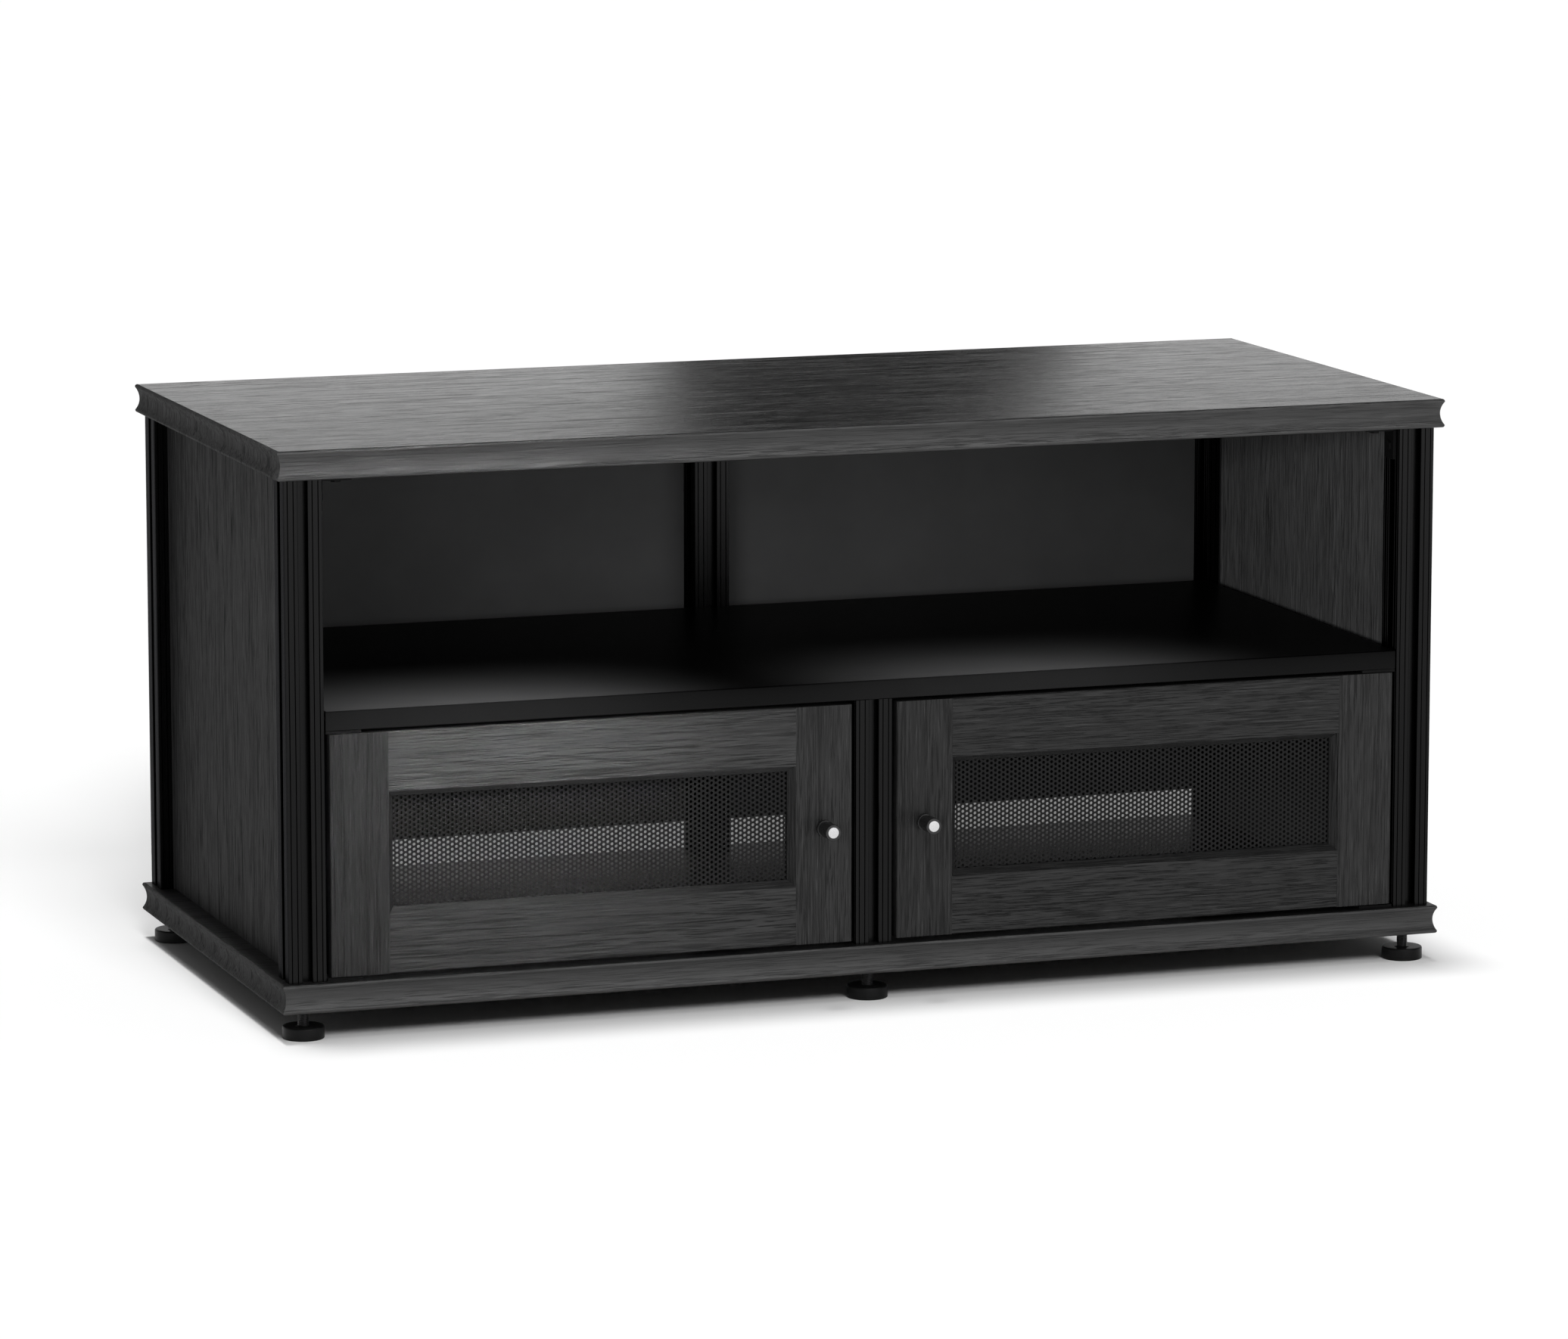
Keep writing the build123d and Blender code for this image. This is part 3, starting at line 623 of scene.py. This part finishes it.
def perforatedScreen(node, s):
    # Six-sided cells in columns, every other column half a pitch higher, each a flat ring round its hole, on
    # both faces of the sheet
    lo, hi = boxOf(node)
    middle, half = (lo + hi) / 2, (hi - lo) / 2
    columnStep, cornerReach = s["pitch"] * math.sqrt(3) / 2, s["pitch"] / math.sqrt(3)
    cols = int((half[0] - cornerReach) / columnStep)
    rows = int((half[2] - s["pitch"]) / s["pitch"])
    i, j = np.meshgrid(np.arange(-cols, cols + 1), np.arange(-rows, rows + 1), indexing="ij")
    cells = np.stack([i * columnStep, (j + 0.5 * (i % 2)) * s["pitch"]], axis=-1).reshape(-1, 1, 2)
    t = roundAngles(s["sides"])
    rays = np.stack([np.cos(t), np.sin(t)], axis=-1)
    reach = np.where(np.arange(s["sides"]) % 2, s["pitch"] / 2, cornerReach)[:, None]
    outer = (cells + reach * rays).reshape(-1, 2)
    inner = (cells + s["hole"] * rays).reshape(-1, 2)

    # Neighbours share the points that fall in the same small square, and the shift keeps points off the
    # edges of the squares
    squares = np.round(outer / s["snap"] + s["snapShift"]).astype(int)
    shared, corner = np.unique(squares, axis=0, return_index=True, return_inverse=True)[1:]
    flat = np.concatenate([outer[shared], inner])
    n = len(flat)
    a = corner.reshape(-1, s["sides"])
    b = len(shared) + np.arange(a.size).reshape(a.shape)
    a2, b2 = np.roll(a, -1, axis=1), np.roll(b, -1, axis=1)
    front = np.stack([a, a2, b2, b], axis=-1).reshape(-1, 4)
    holeWalls = np.stack([b, b2, b2 + n, b + n], axis=-1).reshape(-1, 4)

    # An edge that only one cell has is on the sheet's own rim
    edges = np.stack([a, a2], axis=-1).reshape(-1, 2)
    first, times = np.unique(np.sort(edges, axis=1), axis=0, return_index=True, return_counts=True)[1:]
    start, end = edges[first[times == 1]].T
    rimWalls = np.stack([start, start + n, end + n, end], axis=-1)
    x, z = flat[:, 0] + middle[0], flat[:, 1] + middle[2]
    points = np.concatenate([np.column_stack([x, np.full(n, y), z]) for y in (lo[1], hi[1])])
    return points, np.concatenate([front, front[:, ::-1] + n, holeWalls, rimWalls])


knobSettings = {
    "collarRound": 0.7 * mm, "headRound": 0.9 * mm, "roundSteps": 6, "collarLength": 4.0 * mm,
    "neckLength": 5.0 * mm, "collar": 7.75 * mm, "neck": 5.75 * mm, "head": 7.5 * mm, "recess": 5.35 * mm,
    "discDepth": 1.5 * mm, "sides": 64,
}


def knobProfile(length, s):
    # Collar, neck and head, each edge eased by a quarter round, then the recess for the disc
    c, h, steps = s["collarRound"], s["headRound"], s["roundSteps"]
    neckEnd, recessFloor = s["collarLength"] + s["neckLength"], length - s["discDepth"]
    return np.concatenate([
        [(0.0, 0.0), (s["collar"], 0.0)],
        arc(s["collar"] - c, s["collarLength"] - c, c, 0, 90, steps),
        [(s["neck"], s["collarLength"]), (s["neck"], neckEnd)],
        arc(s["head"] - h, neckEnd + h, h, 270, 360, steps),
        arc(s["head"] - h, length - h, h, 0, 90, steps),
        [(s["recess"], length), (s["recess"], recessFloor), (0.0, recessFloor)],
    ])


discSettings = {"edge": 0.25 * mm, "crown": 0.12 * mm, "crownSteps": 8, "sides": 64}


def discProfile(radius, thickness, s):
    # Flat back, straight edge, and a faint crown on the front
    out = np.linspace(1, 0, s["crownSteps"])
    crown = np.stack([(radius - s["edge"]) * out, thickness - s["crown"] * out**2], axis=-1)
    back = [(0.0, 0.0), (radius, 0.0), (radius, thickness - s["crown"] - s["edge"])]
    return np.concatenate([back, crown])


for side in ("left", "right"):
    door = "door_" + side
    screen = perforatedScreen(door + "_screen", screenSettings)
    makePiece("screen" + titled(side), screen, door, finish["screenCoat"],
              door + "_screen")
    lo, hi = boxOf(door + "_knob")
    middle = (lo + hi) / 2
    knob = turned(knobProfile(hi[1] - lo[1], knobSettings), (middle[0], hi[1], middle[2]), "y",
                  knobSettings["sides"])
    makePiece("knob" + titled(side), knob, door, finish["knobCoat"], door + "_knob")
    lo, hi = boxOf(door + "_knob_disc")
    disc = turned(discProfile((hi[0] - lo[0]) / 2, hi[1] - lo[1], discSettings),
                  (middle[0], hi[1], middle[2]), "y", discSettings["sides"])
    makePiece("disc" + titled(side), disc, door, finish["brightDisc"],
              door + "_knob_disc")
print("doors dressed")


# Stage, light and camera

floorSettings = {"size": 400.0, "colour": 0.97, "mottle": 0.005, "rough": 0.9, "specular": 0.1}


def makeFloor(s):
    mesh = bpy.data.meshes.new("studioFloor")
    h = s["size"] / 2
    mesh.from_pydata([(-h, -h, 0), (h, -h, 0), (h, h, 0), (-h, h, 0)], [], [(0, 1, 2, 3)])
    floor = bpy.data.objects.new("studioFloor", mesh)
    bpy.context.scene.collection.objects.link(floor)
    material, tree, shader = newMaterial("studioFloor")
    where = place(tree, "TexCoord").outputs["Object"]
    cloud = place(tree, "TexNoise", {"Vector": where, "Scale": 1.0}).outputs[0]
    shade = ramp(tree, cloud, 0.0, 1.0, s["colour"] - s["mottle"], s["colour"] + s["mottle"])
    tree.links.new(shade, shader["Base Color"])
    shader["Roughness"].default_value = s["rough"]
    shader["Specular IOR Level"].default_value = s["specular"]
    mesh.materials.append(material)
    return floor


# The shade is full at the cabinet's back and fades out between the two distances
gauzeSettings = {
    "height": 0.25, "corners": [(0.549, 0.30), (0.865, 1.05), (-0.33, 1.05), (-0.51, 0.30)], "shade": 0.82,
    "fade": (0.68, 1.05),
}


def makeGauze(s):
    # A grey gauze behind the cabinet, one side folded down to the floor; only its soft shade on the floor
    # shows
    mesh = bpy.data.meshes.new("backGauze")
    raised = [(x, y, s["height"]) for x, y in s["corners"]]
    folded = [(x, y, 0.0) for x, y in s["corners"][:2]]
    mesh.from_pydata(raised + folded, [], [(0, 1, 2, 3), (0, 4, 5, 1)])
    gauze = bpy.data.objects.new("backGauze", mesh)
    for rays in ("camera", "diffuse", "glossy", "transmission"):
        setattr(gauze, "visible_" + rays, False)
    bpy.context.scene.collection.objects.link(gauze)
    material, tree, shader = newMaterial("backGauze")
    where = place(tree, "SeparateXYZ", {0: place(tree, "TexCoord").outputs["Object"]}).outputs
    tree.links.new(ramp(tree, where[1], *s["fade"], s["shade"], 0.0), shader["Alpha"])
    mesh.materials.append(material)


def linkedTo(name, pieces, state):
    # Lamps given this collection light these pieces alone, or all but these
    collection = bpy.data.collections.new(name)
    for piece in pieces:
        collection.objects.link(piece)
    for row in collection.collection_objects:
        row.light_linking.link_state = state
    return collection


# tilt is in degrees from overhead: towards the left, then towards the back
keySettings = [
    {"name": "overheadKey", "tilt": (2.0, 4.0), "spread": 9.0, "strength": 1.74},
    {"name": "floorKeyHigh", "tilt": (2.0, -24.0), "spread": 20.0, "strength": 0.46, "lights": "floor"},
    {"name": "floorKeyLow", "tilt": (2.0, -50.0), "spread": 22.0, "strength": 1.34, "lights": "floor"},
]


def makeKey(s, receivers):
    # A soft far-off key; those for the floor alone soften the shadow under the base
    data = bpy.data.lights.new(s["name"], "SUN")
    data.energy = s["strength"]
    data.angle = math.radians(s["spread"])
    lamp = bpy.data.objects.new(s["name"], data)
    lamp.rotation_euler = Euler((math.radians(-s["tilt"][1]), math.radians(-s["tilt"][0]), 0.0))
    lamp.visible_glossy = False
    if "lights" in s:
        lamp.light_linking.receiver_collection = receivers[s["lights"]]
    bpy.context.scene.collection.objects.link(lamp)


# The keys light the floor and the shelf has two lamps of its own, so the other lamps leave both out
plainLamp = {"spread": 180.0, "mirrored": True, "lights": "rest"}
lampSettings = [
    {"name": "frontBox", "place": (0.9, -4.2, 1.15), "aim": (0.0, -0.2, 0.3), "size": (4.4, 2.4),
     "power": 45.0},
    {"name": "leftBox", "place": (-2.6, -3.4, 0.95), "aim": (0.1, 0.0, 0.35), "size": (1.6, 1.2),
     "power": 65.0, "mirrored": False},
    {"name": "highBox", "place": (0.0, -2.2, 1.75), "aim": (0.0, -0.25, 0.25), "size": (2.8, 1.8),
     "power": 14.0},
    {"name": "stripBox", "place": (0.55, -1.4, 1.9), "aim": (0.0, -0.24, 0.12), "size": (2.2, 0.35),
     "power": 9.0},
    {"name": "doorLamp", "place": (-0.42, -1.44, 1.64), "aim": (-0.38, -0.21, 0.34), "size": (0.36, 0.36),
     "power": 1.75, "spread": 9.0, "mirrored": False},
    {"name": "panelLamp", "place": (-1.4, -2.0, 0.75), "aim": (0.53, 0.0, 0.4), "size": (0.5, 0.3),
     "power": 75.0, "mirrored": False, "lights": "panel"},
    {"name": "shelfLampLeft", "place": (-0.42, -1.56, 1.64), "aim": (-0.38, -0.33, 0.31),
     "size": (0.28, 0.16), "power": 1.45, "spread": 9.0, "mirrored": False, "lights": "shelf"},
    {"name": "shelfLampRight", "place": (0.08, -1.56, 1.64), "aim": (0.14, -0.33, 0.31),
     "size": (0.28, 0.16), "power": 1.1, "spread": 9.0, "mirrored": False, "lights": "shelf"},
]


def makeLamp(s, receivers):
    # A soft box turned to its aim; mirrored says whether shiny surfaces show it
    data = bpy.data.lights.new(s["name"], "AREA")
    data.shape = "RECTANGLE"
    data.size, data.size_y = s["size"]
    data.energy = s["power"]
    data.spread = math.radians(s["spread"])
    lamp = bpy.data.objects.new(s["name"], data)
    lamp.location = s["place"]
    lamp.rotation_euler = (Vector(s["aim"]) - Vector(s["place"])).to_track_quat("-Z", "Y").to_euler()
    lamp.light_linking.receiver_collection = receivers[s["lights"]]
    lamp.visible_camera = False
    lamp.visible_glossy = s["mirrored"]
    bpy.context.scene.collection.objects.link(lamp)


# The gap is in degrees of bearing from straight back, towards the right
worldSettings = {
    "ambient": 0.12, "mirror": 0.70, "dim": 0.02, "gapMiddle": 19.85, "gapHalf": 1.76, "gapFade": 0.15,
    "behind": (-0.45, 0.1), "risen": (0.35, 0.6),
}


def makeWorld(s):
    # White to the camera; in reflections pale walls behind and at the sides, with a dark gap between them,
    # and dim overhead and in front; a low even light on everything else
    world = bpy.data.worlds.new("studioWorld")
    bpy.context.scene.world = world
    world.use_nodes = True
    tree = world.node_tree
    tree.nodes.clear()
    path = place(tree, "LightPath").outputs
    seen = maths(tree, "MAXIMUM", path["Is Camera Ray"], path["Is Transmission Ray"])
    way = place(tree, "SeparateXYZ", {0: place(tree, "TexCoord").outputs["Generated"]}).outputs
    bearing = maths(tree, "ARCTAN2", way[0], way[1])
    fromGap = maths(tree, "SUBTRACT", bearing, math.radians(s["gapMiddle"]))
    aside = place(tree, "Math", {0: fromGap}, operation="ABSOLUTE").outputs[0]
    start, end = math.radians(s["gapHalf"] - s["gapFade"]), math.radians(s["gapHalf"] + s["gapFade"])
    wall = ramp(tree, aside, start, end)
    behind = ramp(tree, way[1], *s["behind"])
    low = ramp(tree, way[2], *s["risen"], 1.0, 0.0)
    pale = maths(tree, "MULTIPLY", maths(tree, "MULTIPLY", wall, behind), low)
    shiny = maths(tree, "MULTIPLY", path["Is Glossy Ray"], ramp(tree, pale, 0.0, 1.0, s["dim"], s["mirror"]))
    others = maths(tree, "MULTIPLY", maths(tree, "SUBTRACT", 1.0, path["Is Glossy Ray"]), s["ambient"])
    level = maths(tree, "MAXIMUM", seen, maths(tree, "ADD", shiny, others))
    sky = place(tree, "Background", {"Color": (1.0, 1.0, 1.0, 1.0), "Strength": level})
    output = place(tree, "OutputWorld")
    tree.links.new(sky.outputs[0], output.inputs[0])


cameraSettings = {
    "place": (-2.2019, -6.3026, 1.3797), "yaw": 19.225, "pitch": 9.421, "lens": 163.84, "sensor": 36.0,
    "far": 500.0,
}


def makeCamera(s):
    data = bpy.data.cameras.new("photoCamera")
    data.sensor_width = s["sensor"]
    data.sensor_fit = "HORIZONTAL"
    data.lens = s["lens"]
    data.clip_end = s["far"]
    camera = bpy.data.objects.new("photoCamera", data)
    camera.location = s["place"]
    camera.rotation_euler = Euler((quarterTurn - math.radians(s["pitch"]), 0.0, math.radians(-s["yaw"])))
    bpy.context.scene.collection.objects.link(camera)
    bpy.context.scene.camera = camera


floor = makeFloor(floorSettings)
receivers = {
    "floor": linkedTo("floorAlone", [floor], "INCLUDE"),
    "shelf": linkedTo("shelfAlone", [shelf], "INCLUDE"),
    "panel": linkedTo("panelAlone", [nodes["side_panel_right"]], "INCLUDE"),
    "rest": linkedTo("leftOut", [floor, shelf], "EXCLUDE"),
}
for key in keySettings:
    makeKey(key, receivers)
for lamp in lampSettings:
    makeLamp({**plainLamp, **lamp}, receivers)
makeGauze(gauzeSettings)
makeWorld(worldSettings)
makeCamera(cameraSettings)
bpy.context.scene.view_settings.view_transform = "Standard"
print("stage, lamps and camera set")
